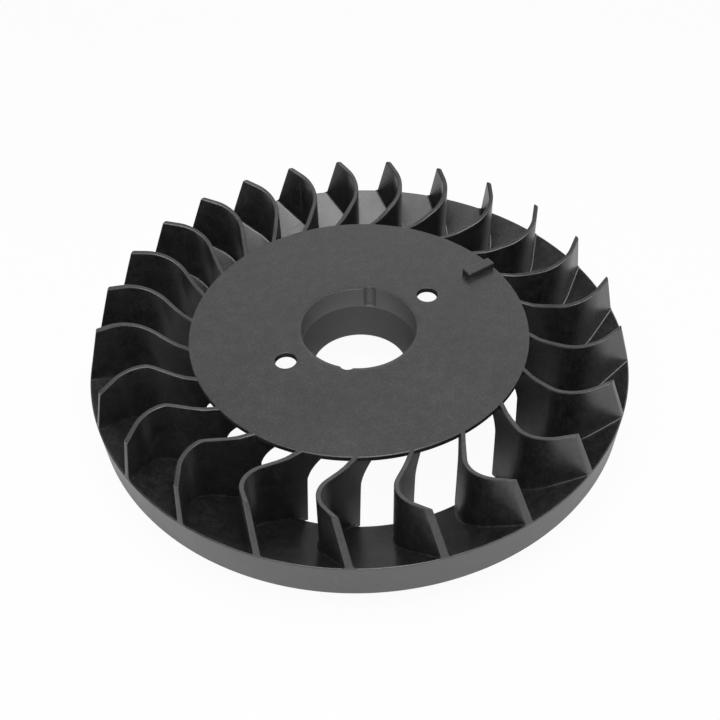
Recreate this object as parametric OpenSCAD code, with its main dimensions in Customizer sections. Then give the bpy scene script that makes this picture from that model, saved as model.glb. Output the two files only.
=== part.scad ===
// Flywheel fan of a small air-cooled engine, moulded in one piece.
// The blades' feet are at z = 0 and the shaft axis is Z.
// The locating lug and the two bolt holes lie on the X axis.

/* [Disc] */
// Outside diameter of the disc
disc_d = 120; // [114:1:126]
// Thickness of the disc
disc_t = 2; // [1.6:0.1:3.5]
// Height of the disc's top face above the blades' feet
disc_h = 35.5; // [33:0.5:39]
// Chamfer on the disc's outer edge and on the mouth of the bore
edge_chamfer = 0.4; // [0.2:0.1:0.7]

/* [Hub] */
// Diameter of the bore along its straight seat
bore_d = 41; // [36:0.5:44]
// Depth of the straight seat of the bore
bore_seat = 8.8; // [7:0.2:12]
// Angle by which the bore narrows below its seat
bore_taper = 15.5; // [8:0.5:18]
// Depth of the collar's end below the disc's top face
collar_depth = 20.6; // [14:0.1:25]
// Wall of the collar
collar_wall = 3; // [2:0.5:4]
// Number of half-round notches in the bore
notch_count = 2; // [1:1:4]
// Angle of the first notch from the lug
notch_angle = 45; // [30:5:90]
// Radius of a notch
notch_r = 2.8; // [2:0.1:3.5]
// How far a notch cuts into the wall of the bore
notch_cut = 1.2; // [0.6:0.1:1.6]
// Length of a notch, down from the disc's top face
notch_l = 8.5; // [3:0.1:10]

/* [Bolt holes] */
// Number of bolt holes
bolt_count = 2; // [2:1:4]
// Diameter of the circle that the bolt holes lie on
bolt_pcd = 60; // [58:1:66]
// Diameter of a bolt hole
bolt_hole_d = 7.5; // [5:0.5:8.5]

/* [Lug] */
// Length of the locating lug, inward from the disc's edge
lug_l = 12; // [6:1:16]
// Width of the locating lug
lug_w = 4; // [2:0.5:6]
// Height of the locating lug above the disc
lug_h = 2.5; // [1:0.5:5]

/* [Blades] */
// Number of blades
blade_count = 24; // [18:1:28]
// Angle by which the uneven pitch moves a blade at most
blade_swing = 9.3; // [0:0.1:10]
// Thickness of a blade
blade_t = 1.8; // [1.4:0.1:2.6]
// Angle of both straight legs of a blade to the radius
blade_bend = 36; // [28:1:40]
// Length of the inner leg outside the disc
blade_leg = 13.2; // [9:0.1:16]
// Radius of the bend between the legs, on the middle of the wall
bend_r = 12.6; // [9:0.1:15]
// Length of the level top outside the disc
blade_level = 4.5; // [2:0.5:8]
// Angle at which the top edge of a blade rises
blade_rise = 20.6; // [12:0.1:24]
// Angle at which the outer edge of a blade leans in
blade_lean = 16.3; // [8:0.1:20]
// Number of low blades
low_count = 3; // [0:1:6]
// Place of the first low blade, counted from the lug
low_first = 12; // [2:1:14]
// Height of the low blades above the disc
low_h = 3.7; // [2:0.1:6]

/* [Blade roots] */
// Diameter inside the inner edges of the blades, at their feet
edge_d = 120.4; // [118:0.2:124]
// Angle at which the inner edges lean in
edge_lean = 3; // [1:0.5:4]
// Distance of the lower edges inside the underside of the floor
foot_step = 0.2; // [0.1:0.1:0.5]
// Depth below the disc's top face at which the inner edges start to curve
root_depth = 16; // [14:0.5:19]
// Radius of that curve
root_r = 9; // [5:0.5:11]
// Slope of the gussets that run in under the disc
root_slope = 35; // [30:1:50]

/* [Ring] */
// Outside diameter of the rim
rim_d = 190.5; // [187:0.5:196]
// Distance of the blades' outer edges inside the rim
rim_step = 0.15; // [0.1:0.05:0.5]
// Height of the band that hangs from the rim
band_h = 14.5; // [8:0.5:18]
// Draft of the band
band_draft = 3; // [1:0.5:5]
// Wall of the ring
ring_wall = 2; // [1.6:0.1:2.8]
// Diameter of the opening inside the lip of the floor
lip_d = 128; // [125:0.5:132]
// Angle at which the floor rises to the rim
floor_slope = 35.5; // [32:0.5:38]

/* [Hidden] */
$fn = 96;
// Straight sides run this far inside the round they join, so that the two cross
tuck = 0.01;
// Cutters run this far past the faces they cut, and parts this far into each other
past = 1;

disc_r = disc_d / 2;
disc_mid = disc_h - disc_t / 2;
bore_r = bore_d / 2;
seat_z = disc_h - bore_seat;
collar_z = disc_h - collar_depth;
taper_run = (bore_seat < collar_depth ? collar_depth - bore_seat : 0) * tan(bore_taper);

// Depth of the blades' lower edges under the floor, and height of the rim over their feet
blade_sink = ring_wall - foot_step;
rim_h = (rim_d - edge_d) / 2 * tan(floor_slope) + blade_sink / cos(floor_slope);
rim_p = [rim_d / 2, rim_h];
band_p = rim_p - band_h * [tan(band_draft), 1];

// Inner edges of the blades, with the curve up to the gussets
root_z = disc_h - root_depth;
root_c = [edge_d / 2 - root_z * tan(edge_lean) - root_r / cos(edge_lean), root_z];
edge_p = root_c + (root_r - tuck) * [cos(edge_lean), sin(edge_lean)];
gusset_p = root_c + (root_r - tuck) * [sin(root_slope), cos(root_slope)];
gusset_r = gusset_p[0] - (disc_mid - gusset_p[1]) / tan(root_slope);

// Meeting point of the rising top edge and the leaning outer edge
rise_r = disc_r + blade_level;
foot_p = [rim_d / 2 - rim_step, rim_h - 2 * rim_step];
tip_z = (disc_h + tan(blade_rise) * (foot_p[0] - rise_r + tan(blade_lean) * foot_p[1]))
      / (1 + tan(blade_rise) * tan(blade_lean));
tip_r = foot_p[0] - (tip_z - foot_p[1]) * tan(blade_lean);

// Centre of the bend in a blade's plan, and how far the two legs run from it
bend_c = [disc_r + blade_leg * cos(blade_bend) + bend_r * sin(blade_bend),
          bend_r * cos(blade_bend) - blade_leg * sin(blade_bend)];
leg_in = blade_leg + disc_r * cos(blade_bend)
       - sqrt(pow(gusset_r - past, 2) - pow(disc_r * sin(blade_bend), 2));
leg_out = rim_d / 2 - disc_r - blade_leg;

// Angle of a blade's root: an even pitch, moved by a cosine to quieten the fan
function blade_angle(i) = i * 360 / blade_count + blade_swing * cos(i * 360 / blade_count);
function is_low(i) = i >= low_first && i < low_first + low_count;

// Flat disc that closes the fan and is bolted to the flywheel
module disc() {
    color("dimgray") rotate_extrude() polygon([
        [bore_r - past, disc_h - disc_t],
        [disc_r, disc_h - disc_t],
        [disc_r, disc_h - edge_chamfer],
        [disc_r - edge_chamfer, disc_h],
        [bore_r - past, disc_h]
    ]);
}

// Collar under the disc, with the same taper outside as in the bore
module collar() {
    color("dimgray") rotate_extrude() polygon([
        [bore_r - taper_run - past, collar_z],
        [bore_r - taper_run + collar_wall, collar_z],
        [bore_r + collar_wall, seat_z],
        [bore_r + collar_wall, disc_mid],
        [bore_r - taper_run - past, disc_mid]
    ]);
}

// Space of the bore: mouth chamfer, straight seat, and the narrowing below it
module bore_space() {
    end_run = taper_run + past * tan(bore_taper);
    rotate_extrude() polygon([
        [0, collar_z - past],
        [bore_r - end_run, collar_z - past],
        [bore_r, seat_z],
        [bore_r, disc_h - edge_chamfer],
        [bore_r + edge_chamfer + past, disc_h + past],
        [0, disc_h + past]
    ]);
}

module notch_space() {
    translate([bore_r + notch_cut - notch_r, 0, disc_h - notch_l])
        cylinder(r = notch_r, h = notch_l + past);
}

module bolt_hole() {
    translate([bolt_pcd / 2, 0, disc_h - disc_t - past])
        cylinder(d = bolt_hole_d, h = disc_t + 2 * past);
}

module hub() {
    difference() {
        union() {
            disc();
            collar();
        }
        bore_space();
        for (i = [0 : notch_count - 1])
            rotate(notch_angle + i * 360 / notch_count) notch_space();
        for (i = [0 : bolt_count - 1])
            rotate(i * 360 / bolt_count) bolt_hole();
    }
}

// Radial lug on the disc, opposite the low blades
module lug() {
    color("dimgray") translate([disc_r - lug_l - edge_chamfer, -lug_w / 2, disc_mid])
        cube([lug_l, lug_w, disc_h + lug_h - disc_mid]);
}

// Section of all that lies deeper than this under the floor of the ring
module under_floor(depth) {
    translate(rim_p) rotate(floor_slope) translate([-rim_d, -rim_d - depth])
        square([2 * rim_d, rim_d]);
}

module ring_section() {
    intersection() {
        under_floor(0);
        union() {
            difference() {
                translate([lip_d / 2, 0])
                    square([rim_p[0] - ring_wall / 2 - lip_d / 2, rim_h + past]);
                under_floor(ring_wall);
            }
            polygon([
                rim_p,
                band_p,
                band_p - [ring_wall, 0],
                rim_p - [ring_wall, 0]
            ]);
        }
    }
}

// Ring that carries the blades: a conical floor, with a band hanging from its rim
module ring() {
    color("dimgray") rotate_extrude() ring_section();
}

// Section of the space inside the blades' inner edges, where the flywheel goes
module flywheel_space() {
    translate(root_c) circle(r = root_r);
    polygon([
        [-past, -past],
        edge_p + (edge_p[1] + past) * [tan(edge_lean), -1],
        edge_p,
        gusset_p,
        [gusset_r, disc_mid] + past * [-1 / tan(root_slope), 1],
        [-past, disc_mid + past]
    ]);
}

// Section that a blade fills between the disc and the floor of the ring
module blade_section() {
    difference() {
        polygon([
            [gusset_r - past, disc_mid],
            [disc_r - past, disc_mid],
            [disc_r - past, disc_h],
            [rise_r, disc_h],
            [tip_r, tip_z],
            foot_p,
            [foot_p[0] - ring_wall, -past],
            [gusset_r - past, -past]
        ]);
        under_floor(blade_sink);
        flywheel_space();
    }
}

// Plan of the hollow side of a bent blade, for a bend of this radius
module bent_side(r, extra) {
    intersection() {
        circle(r = r);
        translate([-r, -r]) square([2 * r, r + extra]);
    }
    rotate(-blade_bend) translate([-leg_in - extra, tuck - r]) square([leg_in + extra, r + extra]);
    rotate(blade_bend) translate([0, tuck - r]) square([leg_out + extra, r + extra]);
}

module blade_plan() {
    translate(bend_c) difference() {
        bent_side(bend_r + blade_t / 2, 0);
        bent_side(bend_r - blade_t / 2, past);
    }
}

module blades() {
    color("gray") intersection() {
        rotate_extrude() blade_section();
        union() for (i = [0 : blade_count - 1])
            rotate(blade_angle(i))
                linear_extrude(height = is_low(i) ? disc_h + low_h : tip_z + past) blade_plan();
    }
}

module flywheel_fan() {
    hub();
    lug();
    ring();
    blades();
}

flywheel_fan();
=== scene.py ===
import math

import bmesh
import bpy
from mathutils import Matrix, Vector


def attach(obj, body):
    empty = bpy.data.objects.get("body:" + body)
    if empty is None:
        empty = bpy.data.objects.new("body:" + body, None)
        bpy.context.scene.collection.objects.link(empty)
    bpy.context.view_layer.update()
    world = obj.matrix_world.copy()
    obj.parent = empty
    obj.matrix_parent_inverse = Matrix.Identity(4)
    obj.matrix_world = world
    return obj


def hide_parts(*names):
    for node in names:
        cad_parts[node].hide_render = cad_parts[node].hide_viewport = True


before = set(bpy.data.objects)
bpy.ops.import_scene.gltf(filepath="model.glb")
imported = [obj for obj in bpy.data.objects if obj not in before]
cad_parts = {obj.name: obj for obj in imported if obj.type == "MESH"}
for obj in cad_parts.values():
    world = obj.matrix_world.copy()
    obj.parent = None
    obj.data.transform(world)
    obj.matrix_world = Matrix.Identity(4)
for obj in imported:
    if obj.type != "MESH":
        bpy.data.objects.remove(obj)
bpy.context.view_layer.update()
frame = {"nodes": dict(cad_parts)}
mm = 0.001      # shapes are made in mm, and the finished fan is scaled to metres
print("frame loaded:", ", ".join(frame["nodes"]))


# camera: a 50 mm lens at the photograph's angle, looking down on the fan

cameraSetup = {
    "place": (-139.2, -219.5, 275.8),   # mm, in the fan's own frame
    "turn": -33.1,                      # degrees about the shaft axis
    "tilt": 45.36,                      # degrees up from looking straight down
    "roll": -1.15,
    "lens": 50.0,
    "sensor": 36.0,
    "shift": (-0.0119, -0.0011),
    "nearest": 10.0,                    # mm from the lens, where the view starts
}


def makeCamera(setup):
    data = bpy.data.cameras.new("camera")
    data.lens = setup["lens"]
    data.sensor_width = setup["sensor"]
    data.shift_x, data.shift_y = setup["shift"]
    data.clip_start = setup["nearest"] * mm
    camera = bpy.data.objects.new("camera", data)
    camera.matrix_world = (
        Matrix.Translation(Vector(setup["place"]) * mm)
        @ Matrix.Rotation(math.radians(setup["turn"]), 4, "Z")
        @ Matrix.Rotation(math.radians(setup["tilt"]), 4, "X")
        @ Matrix.Rotation(math.radians(setup["roll"]), 4, "Z"))
    bpy.context.collection.objects.link(camera)
    bpy.context.scene.camera = camera
    print("camera placed")


# the fan's main sizes, in mm and degrees: z = 0 is at the blades' feet, and the lug is towards +X

fan = {
    "discRadius": 60.0,
    "discTop": 35.5,
    "discThick": 2.0,
    "edgeRound": 0.35,
    "boreRadius": 20.5,
    "seatDepth": 8.8,       # straight part of the bore
    "boreTaper": 15.5,      # degrees by which it narrows below that
    "collarDepth": 20.6,
    "collarWall": 3.0,
    "rimRadius": 95.25,
    "bandHeight": 14.5,
    "bandDraft": 3.0,
    "ringWall": 2.0,
    "lipRadius": 64.0,
    "floorSlope": 35.5,
    "footRadius": 60.2,
    "footStep": 0.2,        # the blades' lower edges lie this far inside the floor's underside
}

seatZ = fan["discTop"] - fan["seatDepth"]
collarZ = fan["discTop"] - fan["collarDepth"]
floorRise = math.tan(math.radians(fan["floorSlope"]))
steepness = 1 / math.cos(math.radians(fan["floorSlope"]))   # turns a depth under the floor into a height
wallDrop = fan["ringWall"] * steepness
bladeDrop = (fan["ringWall"] - fan["footStep"]) * steepness
rimHeight = (fan["rimRadius"] - fan["footRadius"]) * floorRise + bladeDrop


def floorHeight(r):
    # height of the ring's upper face at this radius, carried on inward as far as the blades' feet
    return rimHeight - (fan["rimRadius"] - r) * floorRise


# lathe work: a closed outline of (radius, height, corner round), turned about Z

def roundedOutline(corners, steps=5, straight=88.0, share=0.49):
    # nearly straight corners are left as they are, and a round takes at most this share of a side
    outline = []
    count = len(corners)
    for i, (r, z, radius) in enumerate(corners):
        here = Vector((r, z))
        back = Vector(corners[i - 1][:2]) - here
        ahead = Vector(corners[(i + 1) % count][:2]) - here
        half = back.angle(ahead) / 2
        if radius <= 0 or half > math.radians(straight):
            outline.append(here)
            continue
        reach = min(radius / math.tan(half), back.length * share, ahead.length * share)
        radius = reach * math.tan(half)
        centre = here + (back.normalized() + ahead.normalized()).normalized() * radius / math.sin(half)
        start = here + back.normalized() * reach - centre
        end = here + ahead.normalized() * reach - centre
        sweep = start.angle_signed(end)
        for k in range(steps + 1):
            outline.append(centre + Matrix.Rotation(-sweep * k / steps, 2) @ start)
    return outline


def addLathe(bm, outline, segments, closed=True):
    # an outline that isn't closed gets a flat face over each of its ends
    rows = []
    for i in range(segments):
        angle = 2 * math.pi * i / segments
        rows.append([bm.verts.new((p.x * math.cos(angle), p.x * math.sin(angle), p.y)) for p in outline])
    last = len(outline) if closed else len(outline) - 1
    for i in range(segments):
        here, there = rows[i], rows[(i + 1) % segments]
        for j in range(last):
            k = (j + 1) % len(outline)
            bm.faces.new((here[j], there[j], there[k], here[k]))
    if not closed:
        bm.faces.new([row[0] for row in rows])
        bm.faces.new([row[-1] for row in rows])


def closedMesh(name, bm):
    # with its faces turned outward
    bmesh.ops.recalc_face_normals(bm, faces=bm.faces)
    mesh = bpy.data.meshes.new(name)
    bm.to_mesh(mesh)
    bm.free()
    return mesh


def meshObject(name, bm):
    obj = bpy.data.objects.new(name, closedMesh(name, bm))
    bpy.context.collection.objects.link(obj)
    return obj


def plainMesh(obj, helpers):
    # the modifiers' result as a plain mesh, with the object and its helpers cleared away
    graph = bpy.context.evaluated_depsgraph_get()
    mesh = bpy.data.meshes.new_from_object(obj.evaluated_get(graph))
    obj.modifiers.clear()
    for used in (*helpers, obj):
        bpy.data.objects.remove(used)
    return mesh


# hub: flat disc, tapered collar, bolt holes and the two notches in the bore

hub = {
    "segments": 288,
    "boltCircle": 60.0,
    "boltHole": 7.5,
    "boltAngles": (0, 180),
    "notchAngles": (45, 225),
    "notchRadius": 2.8,
    "notchCut": 1.2,
    "notchLength": 8.5,
    "holeSegments": 48,
    "holeRound": 0.25,     # at the mouths of the bolt holes and notches
    "holeSteps": 5,
    "past": 1.0,           # cutters run this far past the faces they cut
    "mouthWidth": 1.3,     # shallow chamfer around the bore's mouth
    "mouthDepth": 0.22,
    "mouthRound": 0.3,
    "boreRound": 0.15,
    "seatRound": 0.3,
    "collarFillet": 1.2,
    "collarBend": 4.0,
    "collarEnd": 0.5,
}


def hubOutline():
    top, under = fan["discTop"], fan["discTop"] - fan["discThick"]
    bore, edge = fan["boreRadius"], fan["edgeRound"]
    narrowing = (fan["collarDepth"] - fan["seatDepth"]) * math.tan(math.radians(fan["boreTaper"]))
    collar = bore + fan["collarWall"]
    return roundedOutline([
        (bore, top - hub["mouthDepth"], hub["boreRound"]),
        (bore + hub["mouthWidth"], top, hub["mouthRound"]),
        (fan["discRadius"], top, edge),
        (fan["discRadius"], under, edge),
        (collar, under, hub["collarFillet"]),
        (collar, seatZ, hub["collarBend"]),
        (collar - narrowing, collarZ, hub["collarEnd"]),
        (bore - narrowing, collarZ, hub["collarEnd"]),
        (bore, seatZ, hub["seatRound"]),
    ])


def plugOutline(radius, low, high):
    # a plug that flares at the mouth, so that the hole it cuts has a rounded edge
    flare, steps = hub["holeRound"], hub["holeSteps"]
    points = [Vector((radius, low))]
    for k in range(steps + 1):
        angle = math.radians(90 * k / steps)
        out, down = flare * (1 - math.cos(angle)), flare * (1 - math.sin(angle))
        points.append(Vector((radius + out, high - down)))
    points.append(Vector((radius + flare, high + hub["past"])))
    return points


def cutHole(target, name, outline, angle, reach):
    turn = math.radians(angle)
    bm = bmesh.new()
    addLathe(bm, outline, hub["holeSegments"], closed=False)
    bmesh.ops.translate(bm, verts=bm.verts, vec=Vector((math.cos(turn), math.sin(turn), 0)) * reach)
    cutter = meshObject(name, bm)
    cut = target.modifiers.new(name, "BOOLEAN")
    cut.operation = "DIFFERENCE"
    cut.solver = "EXACT"
    cut.object = cutter
    return cutter


def makeHub():
    bm = bmesh.new()
    addLathe(bm, hubOutline(), hub["segments"])
    disc = meshObject("hub", bm)
    top = fan["discTop"]
    bolt = plugOutline(hub["boltHole"] / 2, top - fan["discThick"] - hub["past"], top)
    notch = plugOutline(hub["notchRadius"], top - hub["notchLength"], top)
    notchReach = fan["boreRadius"] + hub["notchCut"] - hub["notchRadius"]
    cutters = [cutHole(disc, "boltHole", bolt, angle, hub["boltCircle"] / 2) for angle in hub["boltAngles"]]
    cutters += [cutHole(disc, "notch", notch, angle, notchReach) for angle in hub["notchAngles"]]
    mesh = plainMesh(disc, cutters)
    print("hub cut, holes:", len(cutters))
    return mesh


# lug on the disc, opposite the low blades

lug = {
    "length": 12.0,
    "width": 4.0,
    "height": 2.5,
    "sunk": 0.6,
    "round": 0.35,
    "roundSteps": 3,
    "roundProfile": 0.5,    # 0.5 is a true round
}


def makeLug():
    bm = bmesh.new()
    bmesh.ops.create_cube(bm, size=1.0)
    size = Vector((lug["length"], lug["width"], lug["height"] + lug["sunk"]))
    middle = Vector((fan["discRadius"] - fan["edgeRound"] - lug["length"] / 2, 0,
                     fan["discTop"] + (lug["height"] - lug["sunk"]) / 2))
    for vert in bm.verts:
        vert.co = Vector(a * b for a, b in zip(vert.co, size)) + middle
    bmesh.ops.bevel(bm, geom=bm.edges[:], offset=lug["round"], segments=lug["roundSteps"],
                    affect="EDGES", profile=lug["roundProfile"])
    print("lug made")
    return closedMesh("lug", bm)


# ring: conical floor with an open middle, and the band that hangs from the rim

ring = {
    "segments": 360,
    "rimRound": 0.35,
    "bandRound": 0.5,
    "lipRound": 0.4,
    "innerRound": 1.5,      # in the corner between the floor's underside and the band
}


def ringOutline():
    wall, lip = fan["ringWall"], fan["lipRadius"]
    draft = fan["bandHeight"] * math.tan(math.radians(fan["bandDraft"]))
    bandZ = rimHeight - fan["bandHeight"]
    bandR = fan["rimRadius"] - draft
    innerR = fan["rimRadius"] - wall
    return roundedOutline([
        (lip, floorHeight(lip), ring["lipRound"]),
        (fan["rimRadius"], rimHeight, ring["rimRound"]),
        (bandR, bandZ, ring["bandRound"]),
        (bandR - wall, bandZ, ring["bandRound"]),
        (innerR, floorHeight(innerR) - wallDrop, ring["innerRound"]),
        (lip, floorHeight(lip) - wallDrop, ring["lipRound"]),
    ])


def makeRing():
    bm = bmesh.new()
    addLathe(bm, ringOutline(), ring["segments"])
    print("ring turned")
    return closedMesh("ring", bm)


# blades: a bent plate, straight legs either side of a round bend, standing on the ring's floor

blade = {
    "count": 24,
    "swing": 9.3,          # degrees by which the uneven pitch moves a blade at most
    "lowFirst": 12,        # place of the first low blade, counted from the lug
    "lowCount": 3,
    "lowHeight": 3.7,      # over the disc's top
    "thickTop": 1.65,
    "thickFoot": 2.0,
    "bendAngle": 36.0,     # both legs lie at this angle to the radius
    "bendRadius": 12.6,
    "innerLeg": 13.2,
    "levelRun": 4.5,       # the top stays level this far outside the disc
    "levelSunk": 0.004,    # and a little under the disc's top, so that the two faces don't coincide
    "hiddenTop": 0.9,      # further inside the disc than this the top lies halfway down its wall
    "rise": 20.6,
    "lean": 16.3,
    "footInside": 0.15,    # from the rim to the outer edge
    "edgeRound": 0.35,
    "rootFillet": 0.8,     # where the blade stands on the floor
    "innerLean": 3.0,
    "rootDepth": 16.0,     # under the disc's top, where the inner edge starts to curve
    "rootCurve": 9.0,
    "rootSlope": 35.0,     # of the gusset that runs in under the disc
}

# where the plate's columns and rows of points lie: closest at its free edges, and where its section turns
plate = {
    "edgeColumns": (0, 0.06, 0.16, 0.35),       # mm from the inner or outer edge, up to edgeRound
    "innerColumns": (0.2, 0.4, 0.596, 0.612, 0.64, 0.68, 0.76, 0.86, 0.96),     # shares of the inner leg
    "bendColumns": 14,
    "outerColumns": (0.06, 0.25, 0.5, 0.75),
    "edgeRows": (0, 0.03, 0.1, 0.2, 0.35),      # mm from the lower edge or the top, up to edgeRound
    "sunkRow": 0.3,                             # mm under the floor
    "filletRows": 5,
    "middleRows": (0.12, 0.3, 0.45, 0.585, 0.63, 0.67, 0.71, 0.76, 0.8, 0.88, 0.95),
    "startHeight": 20.0,                        # first guess at a point's height
    "rounds": 7,                                # by which the guess has settled
}

bendTurn = math.radians(blade["bendAngle"])
bendCentre = Vector((
    fan["discRadius"] + blade["innerLeg"] * math.cos(bendTurn) + blade["bendRadius"] * math.sin(bendTurn),
    blade["bendRadius"] * math.cos(bendTurn) - blade["innerLeg"] * math.sin(bendTurn)))
bendStart = blade["innerLeg"]
bendEnd = bendStart + blade["bendRadius"] * 2 * bendTurn


def onBlade(s, off):
    # a point of the plan: s along the middle of the wall from the disc's edge, off to its hollow side
    heading = -bendTurn + min(max(s - bendStart, 0), bendEnd - bendStart) / blade["bendRadius"]
    along = Vector((math.cos(heading), math.sin(heading)))
    side = Vector((-along.y, along.x))
    straight = min(s - bendStart, 0) + max(s - bendEnd, 0)
    return bendCentre + along * straight + side * (off - blade["bendRadius"])


def crossing(leg, off, radius):
    # the place along the blade where the leg from this end of the bend crosses this radius
    way = 1 if leg == bendEnd else -1
    start = onBlade(leg, off)
    along = (onBlade(leg + way, off) - start).normalized()
    b = start.dot(along)
    root = math.sqrt(max(b * b - start.length_squared + radius * radius, 0.0))
    return leg + way * (way * root - b)


def innerRadius(z):
    # inner edge of a blade: leaning in a little, then curved up into the gusset under the disc
    lean, slope = math.radians(blade["innerLean"]), math.radians(blade["rootSlope"])
    curve = blade["rootCurve"]
    centreZ = fan["discTop"] - blade["rootDepth"]
    centreR = fan["footRadius"] - centreZ * math.tan(lean) - curve / math.cos(lean)
    if z <= centreZ + curve * math.sin(lean):
        return fan["footRadius"] - z * math.tan(lean)
    endZ = centreZ + curve * math.cos(slope)
    if z < endZ:
        return centreR + math.sqrt(curve ** 2 - (z - centreZ) ** 2)
    return centreR + curve * math.sin(slope) - (z - endZ) / math.tan(slope)


def outerRadius(z):
    # outer edge of a blade: leaning in above the rim, and kept inside the ring's band below it
    footR = fan["rimRadius"] - blade["footInside"]
    footZ = rimHeight - 2 * blade["footInside"]
    if z < footZ:
        return footR - (footZ - z) * fan["ringWall"] / footZ
    return footR - (z - footZ) * math.tan(math.radians(blade["lean"]))


def topHeight(r, cap):
    # top edge: hidden in the disc, level at its edge, then rising to the tip, or only to a low blade's cap
    if r < fan["discRadius"] - blade["hiddenTop"]:
        return fan["discTop"] - fan["discThick"] / 2
    level = fan["discTop"] - blade["levelSunk"]
    rise = max(r - fan["discRadius"] - blade["levelRun"], 0) * math.tan(math.radians(blade["rise"]))
    return min(level + rise, cap)


def quarter(distance, radius):
    # how far a quarter round stands back at this distance from its edge
    left = max(radius - distance, 0)
    return radius - math.sqrt(max(radius * radius - left * left, 0))


def bladeColumns():
    # (part, place in it, distance from the free edge), where clear is past the edge's rounding
    clear = blade["edgeRound"]
    inner = [("in", d, d) for d in plate["edgeColumns"]]
    inner += [("inShare", share, clear) for share in plate["innerColumns"]]
    bend = [("bend", k / plate["bendColumns"], clear) for k in range(plate["bendColumns"] + 1)]
    outer = [("outShare", share, clear) for share in plate["outerColumns"]]
    outer += [("out", d, d) for d in reversed(plate["edgeColumns"])]
    return inner + bend + outer


def bladeRows():
    # (part, place in it): mm over the floor, a share of the wall above the fillet, or mm under the top
    fillet, steps = blade["rootFillet"], plate["filletRows"]
    low = [("low", d - bladeDrop) for d in plate["edgeRows"]] + [("low", -plate["sunkRow"])]
    low += [("low", fillet * (1 - math.cos(math.radians(90 * k / steps)))) for k in range(steps + 1)]
    middle = [("middle", share) for share in plate["middleRows"]]
    high = [("high", d) for d in reversed(plate["edgeRows"])]
    return low + middle + high


def bladePoint(column, row, sign, cap):
    # height and thickness depend on each other through the radius, so both are worked out in rounds
    part, value, endGap = column
    kind, level = row
    fillet, rounding = blade["rootFillet"], blade["edgeRound"]
    z = plate["startHeight"]
    off = 0.0
    for _ in range(plate["rounds"]):
        if part == "in":
            s = crossing(bendStart, off, innerRadius(z)) + value
        elif part == "inShare":
            start = crossing(bendStart, off, innerRadius(z)) + rounding
            s = start + (bendStart - start) * value
        elif part == "bend":
            s = bendStart + (bendEnd - bendStart) * value
        elif part == "outShare":
            s = bendEnd + (crossing(bendEnd, off, outerRadius(z)) - rounding - bendEnd) * value
        else:
            s = crossing(bendEnd, off, outerRadius(z)) - value
        r = onBlade(s, off).length
        floorZ, topZ = floorHeight(r), topHeight(r, cap)
        lowZ, highZ = floorZ + fillet, topZ - rounding
        z = {"low": floorZ + level, "high": topZ - level, "middle": lowZ + (highZ - lowZ) * level}[kind]
        # half the wall: thicker towards the foot, rounded at the free edges, with a fillet on the floor
        half = blade["thickTop"] / 2
        half += (blade["thickFoot"] - blade["thickTop"]) / 2 * min(max((topZ - z) / (topZ - floorZ), 0), 1)
        topLeft = max(rounding - (topZ - z), rounding - (z - floorZ + bladeDrop), 0)
        endLeft = max(rounding - endGap, 0)
        back = min(math.hypot(topLeft, endLeft), rounding)
        half -= rounding - math.sqrt(rounding ** 2 - back ** 2)
        onFloor = min(max((r - fan["lipRadius"]) / fillet, 0), 1)
        half += quarter(max(z - floorZ, 0), fillet) * onFloor
        off = sign * half
    point = onBlade(s, off)
    return (point.x, point.y, z)


def makeBlade(name, cap):
    columns, rows = bladeColumns(), bladeRows()
    bm = bmesh.new()
    right, left = (
        [[bm.verts.new(bladePoint(column, row, sign, cap)) for row in rows] for column in columns]
        for sign in (-1, 1))
    for grid, flip in ((right, False), (left, True)):
        for i in range(len(columns) - 1):
            for j in range(len(rows) - 1):
                quad = [grid[i][j], grid[i + 1][j], grid[i + 1][j + 1], grid[i][j + 1]]
                bm.faces.new(reversed(quad) if flip else quad)
    for i in range(len(columns) - 1):
        bm.faces.new((right[i][-1], right[i + 1][-1], left[i + 1][-1], left[i][-1]))
        bm.faces.new((left[i][0], left[i + 1][0], right[i + 1][0], right[i][0]))
    for j in range(len(rows) - 1):
        bm.faces.new((left[0][j], right[0][j], right[0][j + 1], left[0][j + 1]))
        bm.faces.new((right[-1][j], left[-1][j], left[-1][j + 1], right[-1][j + 1]))
    return meshObject(name, bm)


# node helpers: a socket is linked to the input, and any other value is set on it

def feed(tree, target, value):
    if isinstance(value, bpy.types.NodeSocket):
        tree.links.new(value, target)
    else:
        target.default_value = value


def addNode(tree, kind, *values):
    node = tree.nodes.new(kind)
    for target, value in zip(node.inputs, values):
        feed(tree, target, value)
    return node


def maths(tree, operation, *values, clamp=False):
    node = addNode(tree, "ShaderNodeMath", *values)
    node.operation = operation
    node.use_clamp = clamp
    return node.outputs[0]


def vectorMaths(tree, operation, *values):
    node = addNode(tree, "ShaderNodeVectorMath", *values)
    node.operation = operation
    return node


def remap(tree, value, edges, ends, smooth=False):
    # goes from one end to the other between these two edges of the value
    node = addNode(tree, "ShaderNodeMapRange", value, *edges, *ends)
    if smooth:
        node.interpolation_type = "SMOOTHSTEP"
    return node.outputs[0]


def mixColours(tree, share, one, other):
    node = tree.nodes.new("ShaderNodeMix")
    node.data_type = "RGBA"
    for label, value in (("Factor", share), ("A", one), ("B", other)):
        feed(tree, node.inputs[label], value)
    return node.outputs["Result"]


def inMetres(sizes):
    return [size * mm for size in sizes]


def around(middle, spread):
    return middle - spread, middle + spread


# the blades stand around the disc by a rule: an even pitch, moved by a cosine

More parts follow.
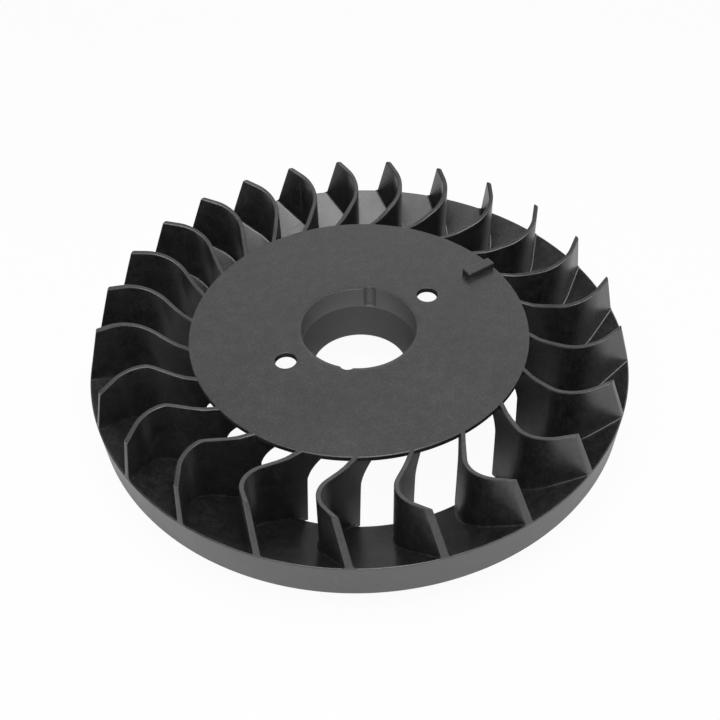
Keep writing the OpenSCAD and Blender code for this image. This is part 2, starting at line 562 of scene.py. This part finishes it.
def bladeRingTree(material):
    tree = bpy.data.node_groups.new("bladeRing", "GeometryNodeTree")
    names = {}
    for label, kind in (("Count", "Int"), ("Swing", "Float"), ("First Low", "Int"), ("Low Count", "Int"),
                        ("Full Blade", "Object"), ("Low Blade", "Object")):
        item = tree.interface.new_socket(label, in_out="INPUT", socket_type="NodeSocket" + kind)
        names[label] = item.identifier
    tree.interface.new_socket("Geometry", in_out="OUTPUT", socket_type="NodeSocketGeometry")
    source = tree.nodes.new("NodeGroupInput").outputs
    points = addNode(tree, "GeometryNodePoints", source["Count"]).outputs[0]
    index = tree.nodes.new("GeometryNodeInputIndex").outputs[0]
    even = maths(tree, "DIVIDE", maths(tree, "MULTIPLY", index, 2 * math.pi), source["Count"])
    moved = maths(tree, "MULTIPLY", maths(tree, "COSINE", even), source["Swing"])
    turn = tree.nodes.new("ShaderNodeCombineXYZ")
    feed(tree, turn.inputs["Z"], maths(tree, "ADD", even, moved))
    rotation = addNode(tree, "FunctionNodeEulerToRotation", turn.outputs[0]).outputs[0]
    # half a step keeps these whole numbers clear of the limits
    past = maths(tree, "SUBTRACT", index, source["First Low"])
    begun = maths(tree, "GREATER_THAN", past, -0.5)
    notOver = maths(tree, "LESS_THAN", past, maths(tree, "SUBTRACT", source["Low Count"], 0.5))
    isLow = maths(tree, "MULTIPLY", begun, notOver)
    join = tree.nodes.new("GeometryNodeJoinGeometry")
    for label, chosen in (("Full Blade", maths(tree, "SUBTRACT", 1.0, isLow)), ("Low Blade", isLow)):
        info = tree.nodes.new("GeometryNodeObjectInfo")
        feed(tree, info.inputs["Object"], source[label])
        place = tree.nodes.new("GeometryNodeInstanceOnPoints")
        for target, value in (("Points", points), ("Selection", chosen),
                              ("Instance", info.outputs["Geometry"]), ("Rotation", rotation)):
            feed(tree, place.inputs[target], value)
        feed(tree, join.inputs[0], place.outputs[0])
    realize = addNode(tree, "GeometryNodeRealizeInstances", join.outputs[0])
    finish = addNode(tree, "GeometryNodeSetMaterial", realize.outputs[0])
    feed(tree, finish.inputs["Material"], material)
    addNode(tree, "NodeGroupOutput", finish.outputs[0])
    return tree, names


def makeBlades(material):
    full = makeBlade("fullBlade", math.inf)
    low = makeBlade("lowBlade", fan["discTop"] + blade["lowHeight"])
    holder = meshObject("blades", bmesh.new())
    tree, names = bladeRingTree(material)
    nodes = holder.modifiers.new("bladeRing", "NODES")
    nodes.node_group = tree
    for label, value in (("Count", blade["count"]), ("Swing", math.radians(blade["swing"])),
                         ("First Low", blade["lowFirst"]), ("Low Count", blade["lowCount"]),
                         ("Full Blade", full), ("Low Blade", low)):
        nodes[names[label]] = value
    mesh = plainMesh(holder, (full, low))
    print("blades placed:", blade["count"])
    return mesh


# black moulded plastic: satin, with fine spark-eroded grain, faint flow marks, dust and hair scratches, and
# a painted sheen: a lighter colour on the bore and on the band's outside

plastic = {
    "colour": (0.0150, 0.0150, 0.0155),
    "specular": 0.92,
    "roughness": 0.36,
    "roughnessSpread": 0.05,

    # each noise: scale per metre, detail and roughness
    "grainNoise": (2600.0, 2.0, 0.5),       # grains of about 0.4 mm
    "fineNoise": (1100.0, 1.0, 0.5),
    "broadNoise": (260.0, 2.0, 0.5),
    "flowNoise": (38.0, 4.0, 0.6),
    "speckNoise": (900.0, 2.0, 0.7),
    "scratchNoise": (1.0, 3.0, 0.6),
    "noiseRange": (0.3, 0.7),               # most of a noise lies in this range

    "grainStrength": 0.5,
    "grainDepth": 0.018,                    # mm
    "fineSpread": 0.60,                     # uneven colour: fine mottling
    "broadSpread": 0.35,                    # and broad clouds

    "dust": (0.060, 0.058, 0.055),
    "dustShare": 0.22,
    "speckRange": (0.60, 0.72),
    "speckDust": 0.6,
    "flowRange": (0.4, 0.7),
    "flowDust": 0.5,

    "scratchScale": (30.0, 420.0, 30.0),    # long along X and Z, and narrow along Y
    "scratchTurn": 24.0,                    # degrees: another cut through the same noise
    "scratchRange": (0.69, 0.74),
    "scratchDust": 0.25,
    "scratchRoughness": 0.12,

    # painted sheen: a lighter colour on the bore and on the band's outside, standing in for the light they
    # catch; each edge gives both sides of a soft border, in mm
    "paintedSheen": (0.125, 0.125, 0.125),
    "boreShare": 1.0,                       # on the bore's seat and in its notches
    "boreEdge": (21.85, 22.0),
    "mouthEdge": (35.1, 35.25),
    "seatEdge": (26.5, 26.8),
    "taperShare": 0.62,                     # on the narrowing below the seat
    "taperEdge": (20.45, 20.55),
    "bandShare": 0.37,                      # on the outside of the band
    "bandEdge": (94.2, 94.4),
    "bandTop": 0.2,                         # mm under the rim's edge, where it fades out
    "bandFacing": (0.3, 0.6),               # upward part of the normal: the band faces out, the floor up
}


# painted sheen: where the bore's seat, notches and taper and the band's outward face get a lighter colour
# for the light they catch
def paintedSheenMask(tree, coordinates, setup):
    flat = vectorMaths(tree, "MULTIPLY", coordinates, (1, 1, 0)).outputs["Vector"]
    radius = vectorMaths(tree, "LENGTH", flat).outputs["Value"]
    height = addNode(tree, "ShaderNodeSeparateXYZ", coordinates).outputs["Z"]
    normal = tree.nodes.new("ShaderNodeNewGeometry").outputs["Normal"]
    facing = addNode(tree, "ShaderNodeSeparateXYZ", normal).outputs["Z"]

    inBore = remap(tree, radius, inMetres(setup["boreEdge"]), (setup["boreShare"], 0.0))
    underMouth = remap(tree, height, inMetres(setup["mouthEdge"]), (1.0, 0.0))
    overTaper = remap(tree, height, inMetres(setup["seatEdge"]), (0.0, 1.0))
    onSeat = maths(tree, "MULTIPLY", inBore, maths(tree, "MULTIPLY", underMouth, overTaper))
    onTaper = remap(tree, radius, inMetres(setup["taperEdge"]), (setup["taperShare"], 0.0))

    atRim = remap(tree, radius, inMetres(setup["bandEdge"]), (0.0, setup["bandShare"]))
    outward = remap(tree, facing, setup["bandFacing"], (1.0, 0.0))
    underRim = remap(tree, height, inMetres((rimHeight - setup["bandTop"], rimHeight)), (1.0, 0.0))
    onBand = maths(tree, "MULTIPLY", atRim, maths(tree, "MULTIPLY", outward, underRim))
    return maths(tree, "ADD", maths(tree, "MAXIMUM", onSeat, onTaper), onBand)


def makePlastic(setup):
    material = bpy.data.materials.new("blackPlastic")
    material.use_nodes = True
    tree = material.node_tree
    shader = tree.nodes["Principled BSDF"]
    coordinates = tree.nodes.new("ShaderNodeTexCoord").outputs["Object"]

    def noise(kind, vector=coordinates):
        node = tree.nodes.new("ShaderNodeTexNoise")
        for label, value in zip(("Vector", "Scale", "Detail", "Roughness"), (vector, *setup[kind])):
            feed(tree, node.inputs[label], value)
        return node.outputs["Fac"]

    stretch = tree.nodes.new("ShaderNodeMapping")
    feed(tree, stretch.inputs["Vector"], coordinates)
    stretch.inputs["Rotation"].default_value[2] = math.radians(setup["scratchTurn"])
    stretch.inputs["Scale"].default_value = setup["scratchScale"]
    scratch = remap(tree, noise("scratchNoise", stretch.outputs[0]), setup["scratchRange"], (0.0, 1.0))
    flow = noise("flowNoise")

    # colour: dust in specks, flow marks and scratches, then mottling, then the painted sheen on the bore
    # and the band
    specks = remap(tree, noise("speckNoise"), setup["speckRange"], (0.0, 1.0))
    flowDust = remap(tree, flow, setup["flowRange"], (0.0, setup["flowDust"]))
    dust = maths(tree, "ADD", maths(tree, "MULTIPLY", specks, setup["speckDust"]), flowDust)
    dust = maths(tree, "MULTIPLY", dust, setup["dustShare"])
    dust = maths(tree, "ADD", dust, maths(tree, "MULTIPLY", scratch, setup["scratchDust"]))
    dusty = mixColours(tree, dust, (*setup["colour"], 1), (*setup["dust"], 1))
    fine = remap(tree, noise("fineNoise"), setup["noiseRange"], around(1, setup["fineSpread"]))
    broad = remap(tree, noise("broadNoise"), setup["noiseRange"], around(1, setup["broadSpread"]))
    mottled = vectorMaths(tree, "SCALE", dusty)
    feed(tree, mottled.inputs["Scale"], maths(tree, "MULTIPLY", fine, broad))
    # painted sheen: a lighter colour mixed in on the bore and the band's outside
    sheenShare = paintedSheenMask(tree, coordinates, setup)
    withSheen = mixColours(tree, sheenShare, mottled.outputs["Vector"], (*setup["paintedSheen"], 1))
    feed(tree, shader.inputs["Base Color"], withSheen)

    # finish: uneven along the flow marks, duller in the scratches, with the grain as a bump
    rough = remap(tree, flow, setup["noiseRange"], around(setup["roughness"], setup["roughnessSpread"]))
    rough = maths(tree, "ADD", rough, maths(tree, "MULTIPLY", scratch, setup["scratchRoughness"]))
    feed(tree, shader.inputs["Roughness"], rough)
    shader.inputs["Specular IOR Level"].default_value = setup["specular"]
    bump = tree.nodes.new("ShaderNodeBump")
    for label, value in (("Strength", setup["grainStrength"]), ("Distance", setup["grainDepth"] * mm),
                         ("Height", noise("grainNoise"))):
        feed(tree, bump.inputs[label], value)
    feed(tree, shader.inputs["Normal"], bump.outputs["Normal"])
    print("plastic mixed")
    return material


# the whole fan is one moulding, so its parts are joined into one piece

def shadeEdges(bm, crease=35.0, bend=4.0, ratio=6.0, level=0.99999):
    # smooth, apart from level faces, creases, and edges where a flat face meets a much smaller round
    for face in bm.faces:
        face.smooth = abs(face.normal.z) < level
    for edge in bm.edges:
        if len(edge.link_faces) != 2:
            continue
        one, other = edge.link_faces
        angle = math.degrees(one.normal.angle(other.normal, 0.0))
        small, large = sorted((one.calc_area(), other.calc_area()))
        edge.smooth = not (angle > crease or (angle > bend and large > ratio * small))


def makeFan():
    material = makePlastic(plastic)
    parts = bmesh.new()
    for mesh in (makeHub(), makeLug(), makeRing(), makeBlades(material)):
        parts.from_mesh(mesh)
        bpy.data.meshes.remove(mesh)
    shadeEdges(parts)
    bmesh.ops.scale(parts, vec=(mm, mm, mm), verts=parts.verts)
    for face in parts.faces:
        face.material_index = 0     # the blades come with a slot of their own
    mesh = bpy.data.meshes.new("flywheelFan")
    parts.to_mesh(mesh)
    parts.free()
    mesh.materials.append(material)
    piece = bpy.data.objects.new("flywheelFan", mesh)
    bpy.context.collection.objects.link(piece)
    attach(piece, "root")
    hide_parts("flywheel_fan")
    print("fan joined:", sum(len(face.vertices) - 2 for face in mesh.polygons), "triangles")


# pale table, white surroundings and soft studio lamps

studio = {
    "floorColour": (0.86, 0.86, 0.86),
    "floorRoughness": 0.9,
    "floorSpecular": 0.1,
    "floorReach": 6.0,        # metres from the middle
    "floorDrop": 0.3,         # mm under the fan
    "floorGlow": 0.95,        # share of plain white in what the camera sees of the table

    # the same in reflections, which are dark in the fan's shade; the edges are in mm from the shaft axis
    "boreGlow": 0.60,         # where light falls on the table through the bore
    "boreEdge": (15.0, 23.0),
    "openGlow": 0.62,         # and on the open table around the fan
    "openEdge": (96.0, 116.0),

    "worldColour": (1.0, 1.0, 1.0),
    "worldStrength": 0.25,
    "dimmed": [
        # where the room is darker in reflections: direction, how far towards it (from, to), by how much
        ((-0.84, 0.54, 0.0), (0.1, 0.7), 0.7),
        ((0.0, 0.0, 1.0), (0.54, 0.72), 0.3),
    ],
    "lamps": {
        # name: place in mm, aimed at the disc, width and height in mm, power in watts
        "topLamp": ((-10, -110, 720), (300, 420), 1.8),
        "leftLamp": ((-420, -130, 650), (300, 300), 1.4),
        "frontLamp": ((-107, -385, 700), (300, 300), 1.5),
    },
}


def seenDirectly(tree, mirrored=1.0):
    # 1 for rays from the camera or through glass, and mirrored, a number or a socket, for reflections
    path = tree.nodes.new("ShaderNodeLightPath").outputs
    total = 0.0
    for label, share in (("Is Camera Ray", 1.0), ("Is Transmission Ray", 1.0), ("Is Glossy Ray", mirrored)):
        total = maths(tree, "MULTIPLY_ADD", path[label], share, total, clamp=True)
    return total


def tableGlow(tree, setup):
    # how bright a reflection sees the table, by the distance from the shaft axis
    coordinates = tree.nodes.new("ShaderNodeTexCoord").outputs["Object"]
    radius = vectorMaths(tree, "LENGTH", coordinates).outputs["Value"]
    underBore = remap(tree, radius, inMetres(setup["boreEdge"]), (setup["boreGlow"], 0.0))
    inOpen = remap(tree, radius, inMetres(setup["openEdge"]), (0.0, setup["openGlow"]))
    return maths(tree, "ADD", underBore, inOpen)


def makeFloor(setup):
    bm = bmesh.new()
    bmesh.ops.create_grid(bm, x_segments=1, y_segments=1, size=setup["floorReach"])
    floor = meshObject("floor", bm)
    floor.location.z = -setup["floorDrop"] * mm
    material = bpy.data.materials.new("paleFloor")
    material.use_nodes = True
    tree = material.node_tree
    shader = tree.nodes["Principled BSDF"]
    shader.inputs["Base Color"].default_value = (*setup["floorColour"], 1)
    shader.inputs["Roughness"].default_value = setup["floorRoughness"]
    shader.inputs["Specular IOR Level"].default_value = setup["floorSpecular"]
    glow = tree.nodes.new("ShaderNodeEmission").outputs[0]
    share = maths(tree, "MULTIPLY", seenDirectly(tree, tableGlow(tree, setup)), setup["floorGlow"])
    mix = addNode(tree, "ShaderNodeMixShader", share, shader.outputs[0], glow)
    feed(tree, tree.nodes["Material Output"].inputs["Surface"], mix.outputs[0])
    floor.data.materials.append(material)
    print("table laid")


def makeWorld(setup):
    world = bpy.data.worlds.new("studio")
    bpy.context.scene.world = world
    world.use_nodes = True
    tree = world.node_tree
    light = tree.nodes["Background"]
    light.inputs["Color"].default_value = (*setup["worldColour"], 1)
    light.inputs["Strength"].default_value = setup["worldStrength"]
    toward = tree.nodes.new("ShaderNodeTexCoord").outputs["Generated"]
    glossy = tree.nodes.new("ShaderNodeLightPath").outputs["Is Glossy Ray"]
    strength = 1.0
    for direction, edges, share in setup["dimmed"]:
        turned = vectorMaths(tree, "DOT_PRODUCT", toward, direction).outputs["Value"]
        dimming = remap(tree, turned, edges, (0.0, -share), smooth=True)
        strength = maths(tree, "MULTIPLY_ADD", dimming, glossy, strength, clamp=True)
    shown = addNode(tree, "ShaderNodeBackground", (1, 1, 1, 1), strength)
    mix = addNode(tree, "ShaderNodeMixShader", seenDirectly(tree), light.outputs[0], shown.outputs[0])
    feed(tree, tree.nodes["World Output"].inputs["Surface"], mix.outputs[0])
    print("room lit")


def makeLamps(setup):
    aim = Vector((0, 0, fan["discTop"])) * mm
    for name, (place, size, power) in setup["lamps"].items():
        data = bpy.data.lights.new(name, "AREA")
        data.shape = "RECTANGLE"
        data.size, data.size_y = size[0] * mm, size[1] * mm
        data.energy = power
        lamp = bpy.data.objects.new(name, data)
        lamp.location = Vector(place) * mm
        lamp.rotation_euler = (aim - lamp.location).to_track_quat("-Z", "Y").to_euler()
        bpy.context.collection.objects.link(lamp)
    print("lamps hung:", len(setup["lamps"]))


makeCamera(cameraSetup)
makeFan()
makeFloor(studio)
makeWorld(studio)
makeLamps(studio)
bpy.context.scene.view_settings.view_transform = "Standard"
